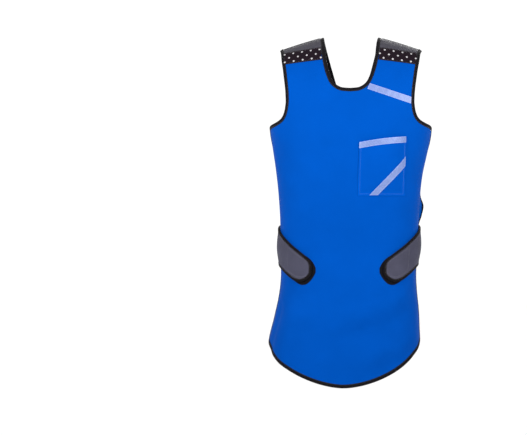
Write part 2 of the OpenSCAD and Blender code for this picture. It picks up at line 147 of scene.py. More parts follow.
# Soft folds in the cloth: [wrap angle, height] of both ends, half-width and height of the fold.
# Lengths round the body are ARC_MM per degree.
ARC_MM = 2.7
FOLDS = [
    ((50, -742), (10, -790), 24, 3.4),
    ((10, -790), (-8, -845), 22, 2.6),
    ((48, -802), (10, -846), 24, -3.2),
    ((10, -846), (-8, -895), 22, -2.2),
    ((66, -862), (24, -904), 22, 3.0),
    ((24, -904), (5, -940), 22, 2.2),
    ((60, -908), (26, -954), 22, -2.6),
    ((-46, -800), (-26, -806), 26, 2.6),
    ((-46, -738), (-26, -732), 22, -1.6),
    ((-47, -820), (-50, -940), 22, 2.4),
    ((-68, -790), (-72, -900), 20, -3.4),
    ((-14, -748), (-8, -764), 18, -1.3),
    ((-34, -860), (-20, -960), 30, -1.8),
    ((-36, -690), (-14, -745), 22, 1.5),
    ((36, -690), (16, -738), 22, 1.6),
    ((-30, -640), (-5, -600), 22, -1.2),
    ((30, -640), (6, -590), 22, -1.2),
    ((-60, -540), (-20, -470), 30, 1.6),
    ((62, -520), (24, -470), 28, 1.4),
    ((-75, -300), (-30, -430), 30, -1.8),
    ((74, -300), (60, -420), 26, -1.6),
    ((-30, -190), (-46, -290), 28, 1.3),
    ((101, -486), (103, -508), 17, 11.0),
]
LEAN_SHARES = [[-APRON_LENGTH, 0.9], [-900, 1], [-850, 0.87], [-800, 0.6], [-747, 0.42],
               [-650, 0.35], [-570, 0.25], [-400, 0.22], [-345, 0.12], [-290, 0.05], [10, 0]]

# The webbing bows out most at one wrap angle, and less the further it is from there
BELT_SLACK = 4.0
BELT_BOW_ANGLE = 86
BELT_BOW_SPREAD = 17

# ---- Curves and the body surface ----


def mix(a, b, f):
    return a + (b - a) * f


def pairs(first, second):
    """Two tables that pair each of the first values, by rows, with each of the second."""
    return np.meshgrid(first, second, indexing="ij")


def smooth(table, u):
    """Smooth curve through a table's points; a table may hold several values for each key."""
    rows = np.asarray(table, float)
    keys, values = rows[:, 0], rows[:, 1:]
    order = np.arange(len(keys))
    before, after = np.maximum(order - 1, 0), np.minimum(order + 1, len(keys) - 1)
    slopes = (values[after] - values[before]) / (keys[after] - keys[before])[:, None]
    u = np.asarray(u, float)
    i = np.clip(np.searchsorted(keys, u, side="right") - 1, 0, len(keys) - 2)
    h = (keys[i + 1] - keys[i])[..., None]
    s = np.clip((u - keys[i])[..., None] / h, 0, 1)
    out = ((2 * s**3 - 3 * s**2 + 1) * values[i] + (s**3 - 2 * s**2 + s) * h * slopes[i]
           + (3 * s**2 - 2 * s**3) * values[i + 1] + (s**3 - s**2) * h * slopes[i + 1])
    return out[..., 0] if values.shape[1] == 1 else out


def step(low, high, u):
    s = np.clip((u - low) / (high - low), 0, 1)
    return s * s * (3 - 2 * s)


def across_at(a, z):
    """Distance from the middle of the body at a wrap angle and height."""
    s = np.sin(np.radians(a))
    return smooth(HALF_WIDTHS, z) * np.sign(s) * np.abs(s) ** (2 / SECTION_K)


def ridge(x):
    return RIDGE_H - RIDGE_FALL * (np.hypot(x, RIDGE_ROUND) - RIDGE_ROUND)


def fold_height(a, z):
    """Height of the soft folds at a wrap angle and height."""
    total = np.zeros(np.broadcast(a, z).shape)
    for start, end, width, height in FOLDS:
        along = np.array([(end[0] - start[0]) * ARC_MM, end[1] - start[1]])
        u, v = (a - start[0]) * ARC_MM, z - start[1]
        length = np.hypot(*along)
        f = (u * along[0] + v * along[1]) / length**2
        off = (u * along[1] - v * along[0]) / length
        past = np.maximum(0, np.abs(f - 0.5) - 0.5) * length
        total += height * np.exp(-((off / width) ** 2) - (past / (1.3 * width)) ** 2)
    return total


def shoulder_puff(a, z):
    """Crown of the padding between the neck and the arm."""
    f = np.clip((np.abs(across_at(a, z)) - NECK_HALF) / (SHOULDER_HALF - NECK_HALF - 8), 0, 1)
    return 0.8 * np.sin(np.pi * f) * step(-110, -45, z)


def drape(a, z):
    turned = (np.asarray(a, float) + 180) % 360 - 180
    below = step(-160, -240, z) * step(118, 108, np.abs(turned))
    return fold_height(turned, z) * below + shoulder_puff(a, z)


def body(a, z, d):
    """Point on the body at wrap angle a and height z, raised by d, as in the CAD design."""
    a, z, d = np.broadcast_arrays(*(np.asarray(v, float) for v in (a, z, d)))
    w, x, c = smooth(HALF_WIDTHS, z), across_at(a, z), np.cos(np.radians(a))
    over = np.clip((z + ARCH_H) / (ARCH_H + ridge(x)), -1, 1)
    t = np.where(z > -ARCH_H, np.arccos(over), np.pi / 2)
    depth = np.where(c >= 0, smooth(FRONT_DEPTHS, z), smooth(BACK_DEPTHS, z))
    sway = -HEM_SWAY * smooth(LEAN_SHARES, z)
    y = -np.sign(c) * (depth + d) * np.sin(t) * np.abs(c) ** (2 / SECTION_K)
    return np.stack([x * (w + d) / w + sway, y, z + d * np.cos(t)], -1)


def cloth(a, z, d):
    """Point in metres on the draped cloth."""
    return body(a, z, d + drape(a, z)) * MM


def unit(v):
    return v / np.linalg.norm(v, axis=-1, keepdims=True)


def cloth_normal(a, z):
    across = cloth(a + 0.4, z, 0) - cloth(a - 0.4, z, 0)
    up = cloth(a, z + 1.5, 0) - cloth(a, z - 1.5, 0)
    return unit(np.cross(across, up))


def front_angle(x, z):
    return np.sign(x) * np.degrees(np.arcsin(np.clip(np.abs(x) / smooth(HALF_WIDTHS, z), 0, 1)
                                             ** (SECTION_K / 2)))


def shoulder_place(x, t):
    """Place [wrap angle, height] at distance x, t degrees before (+) or behind the ridge."""
    z = -ARCH_H + (ARCH_H + ridge(x)) * np.cos(np.radians(t))
    front = front_angle(x, z)
    return np.where(t >= 0, front, 180 - front), z


# ---- Pieces of mesh ----


class Shape:
    """Points, faces and cloth coordinates of one piece, gathered before its mesh is made."""

    def __init__(self):
        self.points, self.coords, self.faces, self.slots = [], [], [], []
        self.count = 0

    def add(self, points, faces, coords, slot=0):
        points = np.asarray(points).reshape(-1, 3)
        self.points.append(points)
        self.coords.append(np.asarray(coords).reshape(-1, 3))
        for group in faces:
            group = np.asarray(group) + self.count
            self.faces.extend(group.tolist())
            self.slots.extend([slot] * len(group))
        self.count += len(points)

    def piece(self, name, materials, weld=False, sharp=50):
        """Makes the object, with its normals outward and its rims sharp."""
        mesh = bpy.data.meshes.new(name)
        mesh.from_pydata(np.concatenate(self.points).tolist(), [], self.faces)
        mesh.polygons.foreach_set("material_index", self.slots)
        layer = mesh.attributes.new("cloth", "FLOAT_VECTOR", "POINT")
        layer.data.foreach_set("vector", np.concatenate(self.coords).astype(np.float32).ravel())
        for material in materials:
            mesh.materials.append(material)
        work = bmesh.new()
        work.from_mesh(mesh)
        if weld:
            bmesh.ops.remove_doubles(work, verts=work.verts, dist=1e-6)
        bmesh.ops.recalc_face_normals(work, faces=work.faces)
        work.to_mesh(mesh)
        work.free()
        mesh.shade_smooth()
        mesh.set_sharp_from_angle(angle=math.radians(sharp))
        made = bpy.data.objects.new(name, mesh)
        bpy.context.scene.collection.objects.link(made)
        return made


def quads(first):
    """Faces over a grid of point numbers."""
    return np.stack([first[:-1, :-1], first[:-1, 1:], first[1:, 1:], first[1:, :-1]], -1).reshape(-1, 4)


def cloth_coords(grid, base_row=0, base_col=0):
    """Lengths along and up the cloth, and the distance from its nearest edge, in metres."""
    u = np.cumsum(np.linalg.norm(np.diff(grid, axis=1, prepend=grid[:, :1]), axis=-1), axis=1)
    v = np.cumsum(np.linalg.norm(np.diff(grid, axis=0, prepend=grid[:1]), axis=-1), axis=0)
    edge = np.minimum(np.minimum(u, u[:, -1:] - u), np.minimum(v, v[-1:] - v))
    return np.stack([u - u[:, base_col:base_col + 1], v - v[base_row:base_row + 1], edge], -1)


def add_shell(shape, outer, inner, coords=None, left_from=0, right_from=0, slot=0):
    """Closed sheet between two grids; a rim may start part of the way up."""
    n, m = outer.shape[:2]
    over = np.arange(n * m).reshape(n, m)
    under = over + n * m
    if coords is None:
        coords = cloth_coords(outer)
    rims = [np.stack([over[0, 1:], over[0, :-1], under[0, :-1], under[0, 1:]], -1),
            np.stack([over[-1, :-1], over[-1, 1:], under[-1, 1:], under[-1, :-1]], -1)]
    for col, start, flip in ((0, left_from, 1), (-1, right_from, -1)):
        line, low = over[start:, col], under[start:, col]
        rim = np.stack([line[:-1], line[1:], low[1:], low[:-1]], -1)
        rims.append(rim[:, ::flip])
    faces = [quads(over), quads(under)[:, ::-1], *rims]
    shape.add(np.concatenate([outer.reshape(-1, 3), inner.reshape(-1, 3)]), faces,
              np.concatenate([coords.reshape(-1, 3)] * 2), slot)


def shell_piece(name, outer, inner, material):
    """A closed sheet between two grids, as a piece of its own."""
    shape = Shape()
    add_shell(shape, outer, inner)
    return shape.piece(name, [material])


def lengths_along(line):
    """Distance along a line to each of its points."""
    return np.concatenate([[0], np.cumsum(np.linalg.norm(np.diff(line, axis=0), axis=1))])


def along_line(values, lengths, at):
    return np.stack([np.interp(at, lengths, values[:, i]) for i in range(values.shape[1])], -1)


def add_stitches(shape, line, ups, slot, pitch=4.2, length=2.9, thick=0.55):
    """A row of sewn stitches on a line of points, each a short thread that dips at both ends."""
    lengths = lengths_along(line)
    count = max(2, int(lengths[-1] / (pitch * MM)))
    at = (np.arange(count) + 0.5) / count * lengths[-1]
    centre = along_line(line, lengths, at)
    up = unit(along_line(ups, lengths, at))
    ahead = unit(along_line(line, lengths, at + 1e-4) - along_line(line, lengths, at - 1e-4))
    beside = unit(np.cross(up, ahead))
    half, r = length / 2 * MM, thick / 2 * MM
    rings = []
    for f, size, lift in ((-1, 0.35, -0.6), (-0.55, 1, 0.1), (0.55, 1, 0.1), (1, 0.35, -0.6)):
        for angle in (0, 90, 180, 270):
            c, s = math.cos(math.radians(angle)), math.sin(math.radians(angle))
            rings.append(centre + ahead * (f * half) + beside * (c * size * r)
                         + up * (s * size * r + lift * r))
    points = np.stack(rings, 1)
    base = np.arange(len(centre))[:, None, None] * 16
    faces = []
    for ring in range(3):
        for k in range(4):
            here, there = ring * 4 + k, ring * 4 + (k + 1) % 4
            faces.append([here, here + 4, there + 4, there])
    faces += [[0, 1, 2, 3], [15, 14, 13, 12]]
    faces = (base + np.array(faces)[None]).reshape(-1, 4)
    coords = np.repeat(np.stack([at, at * 0, at * 0], -1), 16, axis=0)
    shape.add(points, [faces], coords, slot)


def sew(shape, a, z, lift, slot, **style):
    """Stitches along places a, z of the cloth, raised by lift."""
    add_stitches(shape, cloth(a, z, lift), cloth_normal(a, z), slot, **style)


# Section of a folded tape round a cloth edge: distance outward, and height as a share of the
# outside and of the inside half-thickness
FOLD_OUTSIDE = [(-1, 0.86), (-0.94, 1), (-0.62, 1.03), (-0.3, 1), (0.02, 0.98), (0.1, 0.86),
                (0.16, 0.6), (0.19, 0.2)]


def tape_profile(half, wing):
    """Closed section of a folded tape, each point [distance outward, height]."""
    high, low = half + 0.15 + BINDING_T, half + 0.12
    outside = [(wing * f, high * g) for f, g in FOLD_OUTSIDE]
    inside = [(-wing, low), (-wing * 0.5, low), (0.25, low * 0.9), (0.35, low * 0.3)]
    upper = outside
    lower = [(x, -y) for x, y in reversed(outside)]
    hollow_low = [(x, -y) for x, y in inside]
    hollow_up = list(reversed(inside))
    return np.array(upper + lower + hollow_low + hollow_up) * MM


def add_binding(shape, a, z, lift, cloth_t, wing, closed=False, cuts=None, slot=0, stitch=None):
    """Folded tape round a cloth edge through places a, z whose outer face is raised by lift."""
    path = cloth(a, z, lift - cloth_t / 2)
    up = cloth_normal(a, z)
    if closed:
        along = np.roll(path, -1, 0) - np.roll(path, 1, 0)
    else:
        along = np.gradient(path, axis=0)
    out = unit(np.cross(along, up))
    if cuts is not None:
        out[0], out[-1] = cuts
    up = unit(np.cross(out, along))
    profile = tape_profile(cloth_t / 2, wing)
    points = path[:, None] + out[:, None] * profile[None, :, :1] + up[:, None] * profile[None, :, 1:]
    n, m = points.shape[:2]
    number = np.arange(n * m).reshape(n, m)
    number = np.concatenate([number, number[:, :1]], 1)
    if closed:
        number = np.concatenate([number, number[:1]], 0)
    faces = [quads(number)]
    run = lengths_along(path)
    coords = np.stack(np.broadcast_arrays(run[:, None], profile[None, :, 0], wing * MM * 0.5), -1)
    shape.add(points, faces, coords, slot)
    if not closed:
        add_tape_end(shape, number[0, :m], False)
        add_tape_end(shape, number[-1, :m], True)
    if stitch is not None:
        for side in (1, -1):
            line = path + out * (-wing + 1.7) * MM + up * side * (cloth_t / 2 + 1.12) * MM
            if closed:
                line = np.concatenate([line, line[:1]])
            add_stitches(shape, line, (up if not closed else np.concatenate([up, up[:1]])) * side, stitch)


def add_tape_end(shape, ring, flip):
    """Closes the end of a folded tape with strips between its outside and its inside."""
    k = len(FOLD_OUTSIDE)
    outside, inside = ring[:2 * k], ring[2 * k:][::-1]
    start = shape.count - shape.points[-1].shape[0]
    split = [(0, 0), (1, 0), (2, 1), (3, 1), (4, 2), (5, 2), (6, 3), (7, 3)]
    whole = split + [(2 * k - 1 - i, 7 - j) for i, j in reversed(split)]
    faces = []
    for (i, p), (j, q) in zip(whole[:-1], whole[1:]):
        corners = [outside[i], outside[j], inside[q]] + ([inside[p]] if p != q else [])
        faces.append([int(c) + start for c in (corners[::-1] if flip else corners)])
    shape.faces.extend(faces)
    shape.slots.extend([0] * len(faces))


# ---- Materials ----


def shade(colour, factor):
    return tuple(min(1, c * factor) for c in colour[:3]) + (1,)


class Cloth:
    """A node material for one kind of cloth, built up from its weave coordinates."""

    def __init__(self, name, roughness, sheen=0.0, coat=0.0, specular=0.4, tint=(1, 1, 1, 1)):
        self.material = bpy.data.materials.new(name)
        self.material.use_nodes = True
        self.nodes = self.material.node_tree.nodes
        self.links = self.material.node_tree.links
        self.shader = self.nodes["Principled BSDF"]
        surface = {"Roughness": roughness, "Sheen Weight": sheen, "Sheen Roughness": 0.45,
                   "Coat Weight": coat, "Coat Roughness": 0.35, "Specular IOR Level": specular,
                   "Specular Tint": tint, "Sheen Tint": tint}
        for key, value in surface.items():
            self.shader.inputs[key].default_value = value
        attribute = self.new("ShaderNodeAttribute", attribute_name="cloth")
        split = self.new("ShaderNodeSeparateXYZ")
        self.links.new(attribute.outputs["Vector"], split.inputs[0])
        self.vector = attribute.outputs["Vector"]
        self.u, self.v, self.edge = split.outputs

    def new(self, kind, **settings):
        node = self.nodes.new(kind)
        for key, value in settings.items():
            setattr(node, key, value)
        return node

    def math(self, operation, first, second=0.0):
        node = self.new("ShaderNodeMath", operation=operation)
        for socket, value in zip(node.inputs, (first, second)):
            if isinstance(value, (int, float)):
                socket.default_value = value
            else:
                self.links.new(value, socket)
        return node.outputs[0]

    def wave(self, axis, pitch_mm):
        """A wave from 0 to 1 along one direction of the cloth."""
        turns = self.math("MULTIPLY", axis, 2 * math.pi / (pitch_mm * MM))
        return self.math("MULTIPLY", self.math("ADD", self.math("SINE", turns), 1), 0.5)

    def noise(self, size_mm, detail=3.0, roughness=0.55):
        node = self.new("ShaderNodeTexNoise")
        node.inputs["Scale"].default_value = 1 / (size_mm * MM)
        node.inputs["Detail"].default_value = detail
        node.inputs["Roughness"].default_value = roughness
        place = self.new("ShaderNodeTexCoord")
        self.links.new(place.outputs["Object"], node.inputs["Vector"])
        return node.outputs["Fac"]

    def ramp(self, factor, low, high, first, second):
        """Goes from one colour to another as the factor goes from low to high."""
        node = self.new("ShaderNodeValToRGB")
        node.color_ramp.elements[0].position, node.color_ramp.elements[1].position = low, high
        node.color_ramp.elements[0].color, node.color_ramp.elements[1].color = first, second
        self.links.new(factor, node.inputs["Fac"])
        return node.outputs["Color"]

    def blend(self, factor, first, second, how="MIX"):
        node = self.new("ShaderNodeMix", data_type="RGBA", blend_type=how)
        for socket, value in zip((node.inputs[0], node.inputs[6], node.inputs[7]), (factor, first, second)):
            if isinstance(value, (int, float, tuple)):
                socket.default_value = value
            else:
                self.links.new(value, socket)
        return node.outputs[2]

    def colour(self, socket):
        self.links.new(socket, self.shader.inputs["Base Color"])

    def roughness(self, factor, low, high):
        node = self.new("ShaderNodeMapRange")
        node.inputs["To Min"].default_value, node.inputs["To Max"].default_value = low, high
        self.links.new(factor, node.inputs["Value"])
        self.links.new(node.outputs[0], self.shader.inputs["Roughness"])

    def bump(self, *layers):
        """Stacks bumps, each (height, depth in millimetres)."""
        last = None
        for height, depth in layers:
            node = self.new("ShaderNodeBump")
            node.inputs["Distance"].default_value = depth * MM
            node.inputs["Strength"].default_value = 1.0
            self.links.new(height, node.inputs["Height"])
            if last is not None:
                self.links.new(last, node.inputs["Normal"])
            last = node.outputs["Normal"]
        self.links.new(last, self.shader.inputs["Normal"])

    def worn_edge(self, width_mm, size_mm=9):
        """1 at a worn edge of the cloth and 0 a little way in, broken up by noise."""
        near = self.math("SUBTRACT", 1, self.math("DIVIDE", self.edge, width_mm * MM))
        near = self.math("MAXIMUM", near, 0)
        return self.math("MULTIPLY", near, self.noise(size_mm))


def plain_weave(made, pitch):
    return made.math("MULTIPLY", made.wave(made.u, pitch), made.wave(made.v, pitch))


BLUE_GLOSS = (0.0, 0.3, 1.0, 1)


def coated_cloth(name, base, roughness=0.5, sheen=0.01):
    """Smooth coated nylon: fine plain weave, faint blotches and paler rubbed edges."""
    made = Cloth(name, roughness, sheen=sheen, specular=0.012, tint=BLUE_GLOSS)
    blotch = made.ramp(made.noise(75, 2), 0.3, 0.75, shade(base, 0.93), shade(base, 1.06))
    fine = made.ramp(made.noise(2.2, 4), 0.3, 0.7, shade(base, 0.95), shade(base, 1.05))
    colour = made.blend(0.4, blotch, fine)
    colour = made.blend(made.worn_edge(14), colour, shade(base, 1.35))
    made.colour(colour)
    made.roughness(made.noise(28), roughness - 0.07, roughness + 0.09)
    made.bump((made.noise(60, 2), 1.1), (made.noise(9, 3), 0.12), (plain_weave(made, 1.3), 0.07))
    return made.material


def ribbed_tape(name, base, pitch=1.5):
    """Grosgrain binding: ribs across the tape, lint and paler worn ridges."""
    made = Cloth(name, 0.8, sheen=0.02, specular=0.02)
    ribs = made.wave(made.u, pitch)
    colour = made.ramp(ribs, 0.1, 0.9, shade(base, 0.7), shade(base, 1.25))
    lint = made.ramp(made.noise(1.6, 5), 0.55, 0.78, base, shade(base, 2.1))
    made.colour(made.blend(0.35, colour, lint))
    made.bump((ribs, 0.18), (made.noise(4), 0.1))
    return made.material


def twill_cloth(name, base, pitch=1.9):
    """Grey webbing: diagonal twill, uneven dye and fuzz."""
    made = Cloth(name, 0.75, sheen=0.03, specular=0.03)
    diagonal = made.wave(made.math("ADD", made.u, made.v), pitch)
    cross = made.wave(made.math("SUBTRACT", made.u, made.v), pitch * 3)
    threads = made.math("MULTIPLY", diagonal, made.math("ADD", made.math("MULTIPLY", cross, 0.3), 0.7))
    dye = made.ramp(made.noise(38, 3), 0.3, 0.72, shade(base, 0.8), shade(base, 1.2))
    yarn = made.ramp(threads, 0.1, 0.9, shade(base, 0.78), shade(base, 1.22))
    colour = made.blend(0.5, dye, yarn)
    colour = made.blend(made.worn_edge(16, 6), colour, shade(base, 1.6))
    made.colour(colour)
    made.roughness(made.noise(20), 0.58, 0.78)
    made.bump((made.noise(26, 2), 0.5), (threads, 0.16), (made.noise(2, 4), 0.05))
    return made.material


def reflective_tape(name, base):
    """Retroreflective tape: a fine grid of cells, crossed by narrow pressed lines, with painted glints."""
    made = Cloth(name, 0.5, coat=0.03, specular=0.2)
    made.shader.inputs["Metallic"].default_value = 0.05
    cells = made.new("ShaderNodeTexVoronoi", feature="DISTANCE_TO_EDGE")
    cells.inputs["Scale"].default_value = 1 / (1.5 * MM)
    made.links.new(made.vector, cells.inputs["Vector"])
    lines = made.wave(made.math("ADD", made.u, made.math("MULTIPLY", made.v, 0.8)), 7.5)
    pressed = made.ramp(lines, 0.62, 0.86, base, shade(base, 0.72))
    # Painted glint: brighter noise patches in the colour stand in for light glinting off the tape's beads
    painted_glint = made.ramp(made.noise(7, 3), 0.5, 0.72, shade(base, 0.92), shade(base, 1.18))
    cell = made.ramp(cells.outputs["Distance"], 0.02, 0.16, shade(base, 0.7), shade(base, 1.12))
    colour = made.blend(0.42, made.blend(0.5, pressed, painted_glint), cell)
    rim = made.math("MAXIMUM", made.math("SUBTRACT", 1, made.math("DIVIDE", made.edge, 1.6 * MM)), 0)
    made.colour(made.blend(rim, colour, (0.10, 0.13, 0.26, 1)))
    made.roughness(made.noise(5), 0.42, 0.6)
    made.bump((made.noise(12, 2), 0.35), (cells.outputs["Distance"], 0.1))
    return made.material


def pile(name, base):
    """Hook and loop pads: a dense, uneven pile."""
    made = Cloth(name, 0.85, sheen=0.02, specular=0.04)
    tufts = made.noise(1.3, 5, 0.7)
    made.colour(made.ramp(tufts, 0.35, 0.75, shade(base, 0.55), shade(base, 2.0)))
    made.bump((tufts, 0.7), (made.noise(9), 0.4))
    return made.material


def rubbery(name, base, size, depth, roughness):
    """Filled vinyl or foam: mottled, with a fine pitted skin."""
    made = Cloth(name, roughness, specular=0.35)
    pits = made.noise(size, 5, 0.65)
    mottle = made.ramp(made.noise(size * 14, 3), 0.3, 0.7, shade(base, 0.86), shade(base, 1.12))
    made.colour(made.blend(0.35, mottle, made.ramp(pits, 0.4, 0.7, shade(base, 0.7), shade(base, 1.1))))
    made.bump((pits, depth), (made.noise(30, 2), depth * 2))
    return made.material


def thread(name, base):
    """Sewing thread: two plies twisted together."""
    made = Cloth(name, 0.5, sheen=0.2)
    twist = made.wave(made.u, 0.8)
    made.colour(made.ramp(twist, 0.2, 0.8, shade(base, 0.75), shade(base, 1.15)))
    made.bump((twist, 0.12))
    return made.material


BLUE = (0.0001, 0.0226, 0.131, 1)
GREY = (0.0196, 0.0194, 0.0300, 1)
BLACK = (0.0022, 0.0018, 0.0024, 1)
LAVENDER = (0.054, 0.076, 0.166, 1)

blue_cloth = coated_cloth("blue_coated_cloth", BLUE)
pocket_cloth = coated_cloth("blue_pocket_cloth", shade(BLUE, 1.02))
lining_cloth = coated_cloth("navy_lining_cloth", (0.003, 0.014, 0.06, 1), 0.45, 0.05)
yoke_lining_cloth = coated_cloth("navy_yoke_lining_cloth", (0.003, 0.013, 0.055, 1), 0.45, 0.05)
black_tape = ribbed_tape("black_grosgrain", BLACK)
grey_webbing = twill_cloth("grey_webbing", GREY)
grey_yoke = twill_cloth("grey_yoke_cloth", (0.0210, 0.0200, 0.0256, 1), 1.5)
dark_webbing = ribbed_tape("dotted_webbing_ground", (0.0036, 0.0018, 0.0032, 1), 1.8)
dot_print = rubbery("pale_dots", (0.17, 0.165, 0.17, 1), 1.2, 0.05, 0.5)
silver_tape = reflective_tape("reflective_tape_face", LAVENDER)
pad_pile = pile("hook_and_loop_pile", (0.0008, 0.0008, 0.0016, 1))
outer_vinyl = rubbery("lead_vinyl_outer", (0.09, 0.09, 0.10, 1), 1.5, 0.06, 0.55)
inner_vinyl = rubbery("lead_vinyl_inner", (0.12, 0.12, 0.13, 1), 1.5, 0.06, 0.55)
pad_foam = rubbery("cream_foam", (0.66, 0.6, 0.42, 1), 0.9, 0.25, 0.9)
black_thread = thread("black_thread", (0.009, 0.008, 0.009, 1))
blue_thread = thread("blue_thread", (0.0004, 0.0235, 0.134, 1))
white_thread = thread("white_thread", (0.09, 0.11, 0.20, 1))
grey_thread = thread("grey_thread", (0.035, 0.034, 0.042, 1))

# ---- Front panel ----

PANEL_COLS = 40
ROW_STEPS = 4
# The row that the weave's lengths are counted from
WEAVE_ROW = 9


def panel_rows():
    """Each row [height at middle, height at edge, angle at middle, angle at edge, hem drop]."""
    rows = []
    for f in np.linspace(0, 1, 6):
        z = mix(SKIRT_BOTTOM, SKIRT_TOP, f)
        rows.append([z, z, 0, 90, (APRON_LENGTH + SKIRT_BOTTOM) * (1 - f)])
    for z in (-706, -670, -634, -598, -562, -526, -490, -454, -418, -382, -348, -316, -288, ARMPIT_Z):
        rows.append([z, z, 0, float(smooth(SIDE_ANGLES, z)), 0])
    for x, edge, middle in ARMHOLE:
        rows.append([middle, edge, 0, float(front_angle(x, edge)), 0])
    neck_row = len(rows) - 1
    for x, edge, neck_x, neck_z in STRAP_FRONT:
        rows.append([neck_z, edge, float(front_angle(neck_x, neck_z)), float(front_angle(x, edge)), 0])
    return [[i, *row] for i, row in enumerate(rows)], neck_row


ROWS, NECK_ROW = panel_rows()
# The rows of the shoulder strap start a new curve at the neckline's lowest point
BODY_ROWS, STRAP_ROWS = ROWS[:NECK_ROW + 1], ROWS[NECK_ROW:]


def panel_place(side, row, f):
    """Wrap angle and height on a row, a fraction f of the way from the middle to the edge."""
    row, f = np.broadcast_arrays(np.asarray(row, float), np.asarray(f, float))
    low = smooth(BODY_ROWS, np.minimum(row, NECK_ROW))
    high = smooth(STRAP_ROWS, np.maximum(row, NECK_ROW))
    r = np.where((row > NECK_ROW)[..., None], high, low)
    drop = r[..., 4] * (1 - (1 - np.cos(np.radians(90 * f))) ** 0.72)
    return side * mix(r[..., 2], r[..., 3], f), mix(r[..., 0], r[..., 1], f) - drop


def panel_layer(name, depth, thickness, material):
    """One layer of the panel, made of two halves welded below the neckline.

    Each half's middle column carries no rim below the neckline, where the halves meet.
    """
    shape = Shape()
    rows = np.linspace(0, len(ROWS) - 1, (len(ROWS) - 1) * ROW_STEPS + 1)
    for side in (-1, 1):
        f = np.linspace(0, 1, PANEL_COLS + 1)[::side]
        a, z = panel_place(side, rows[:, None], f[None])
        outer, inner = cloth(a, z, -depth), cloth(a, z, -depth - thickness)
        middle, outermost = (0, PANEL_COLS) if side > 0 else (PANEL_COLS, 0)
        coords = cloth_coords(outer, base_row=ROW_STEPS * WEAVE_ROW, base_col=middle)
        to_side = np.abs(coords[:, outermost, 0][:, None] - coords[..., 0])
        to_hem = coords[..., 1] - coords[:1, :, 1]
        to_neck = np.where((rows >= NECK_ROW)[:, None], np.abs(coords[..., 0]), 1.0)
        coords[..., 2] = np.minimum(np.minimum(to_side, to_hem), to_neck)
        split = NECK_ROW * ROW_STEPS
        add_shell(shape, outer, inner, coords, left_from=split if side > 0 else 0,
                  right_from=0 if side > 0 else split)
    return shape.piece(name, [material], weld=True)


def panel_edge():
    """Places along the panel's edge, from the left shoulder seam round the hem to the right."""
    up = np.linspace(0, len(ROWS) - 1, (len(ROWS) - 1) * ROW_STEPS * 2 + 1)
    hem = np.linspace(0, 1, 81)
    left, right = panel_place(-1, up[::-1], 1.0), panel_place(1, up, 1.0)
    hem_left, hem_right = panel_place(-1, 0, hem[::-1][1:]), panel_place(1, 0, hem[1:-1])
    return [np.concatenate(parts) for parts in zip(left, hem_left, hem_right, right)]


def even(a, z, pitch, closed=False):
    """The same places, spread evenly along the cloth."""
    if closed:
        a, z = np.append(a, a[0]), np.append(z, z[0])
    lengths = lengths_along(cloth(a, z, 0))
    at = np.linspace(0, lengths[-1], int(lengths[-1] / (pitch * MM)) + 1)
    if closed:
        at = at[:-1]
    return np.interp(at, lengths, a), np.interp(at, lengths, z)


def bound_edge(name, a, z, closed=False):
    """Binding round an edge of the panel, a yoke or the back panel."""
    shape = Shape()
    add_binding(shape, a, z, 0.0, STACK_T, BINDING_W, closed, stitch=1)
    return shape.piece(name, [black_tape, black_thread])


outer_cover = panel_layer("outer_cover_cloth", 0, CLOTH_T, blue_cloth)
shield_outer = panel_layer("shield_sheet_outer_vinyl", SHIELD1_D, SHIELD_T, outer_vinyl)
shield_inner = panel_layer("shield_sheet_inner_vinyl", SHIELD2_D, SHIELD_T, inner_vinyl)
inner_lining = panel_layer("inner_lining_cloth", LINING_D, CLOTH_T, lining_cloth)

edge_a, edge_z = panel_edge()
perimeter = bound_edge("perimeter_binding_tape", *even(edge_a, edge_z, 4))

# ---- Shoulder yokes and back ----


def back_neck_x(drop):
    """Half-width of the back neckline at a drop below the shoulder line."""
    return NECK_HALF * (1 - BACK_NARROWING * (-drop / YOKE_END_Z) ** 1.2)


def yoke_neck_x(t):
    behind = back_neck_x(ARCH_H * (1 - np.cos(np.radians(t))))
    return np.where(t >= 0, NECK_HALF - 6.2 * t / YOKE_ROWS[0][0], behind)


def yoke_arm_x(t):
    behind = SHOULDER_HALF - 90 * np.abs(1 - np.cos(np.radians(t))) ** 0.8
    return np.where(t >= 0, SHOULDER_HALF - 5 * t / 29, behind)


def yoke_place(side, row, f):
    """Wrap angle and height on a yoke's row, a fraction f of the way from neck to arm."""
    row, f = np.broadcast_arrays(np.asarray(row, float), np.asarray(f, float))
    last = len(YOKE_ROWS) - 1
    keyed = [[i, *r] for i, r in enumerate(YOKE_ROWS)]
    t = smooth(keyed, np.minimum(row, last))
    x = mix(yoke_neck_x(t[..., 0]), yoke_arm_x(t[..., 1]), f)
    a, z = shoulder_place(side * x, mix(t[..., 0], t[..., 1], f))
    beyond = np.clip(row - last, 0, 1)
    end_x = mix(back_neck_x(-YOKE_END_Z), smooth(BACK_HALVES, YOKE_END_Z), f)
    low_z = mix(-ARCH_H, YOKE_END_Z, beyond)
    low_a = 180 - front_angle(side * mix(x, end_x, beyond), low_z)
    return np.where(row > last, low_a, a), np.where(row > last, low_z, z)


def swell(row, f):
    """Inward swelling of the shoulder foam: full on the ridge, none at the edges."""
    t = smooth([[i, r[0]] for i, r in enumerate(YOKE_ROWS)], np.minimum(row, len(YOKE_ROWS) - 1))
    return FOAM_SWELL * np.sin(np.pi * f) * np.maximum(0, np.cos(np.radians(t * 1.2))) ** 2


def yoke_grid(side, rows, f, depth, swollen=False):
    row, f = pairs(rows, f[::side])
    a, z = yoke_place(side, row, f)
    return cloth(a, z, -depth - (swell(row, f) if swollen else 0))


def shoulder_yoke(name, side):
    rows, f = np.linspace(0, len(YOKE_ROWS), 90), np.linspace(0, 1, 29)
    outer, inner = yoke_grid(side, rows, f, 0), yoke_grid(side, rows, f, CLOTH_T)
    return shell_piece(name + "_shoulder_yoke_cloth", outer, inner, grey_yoke)


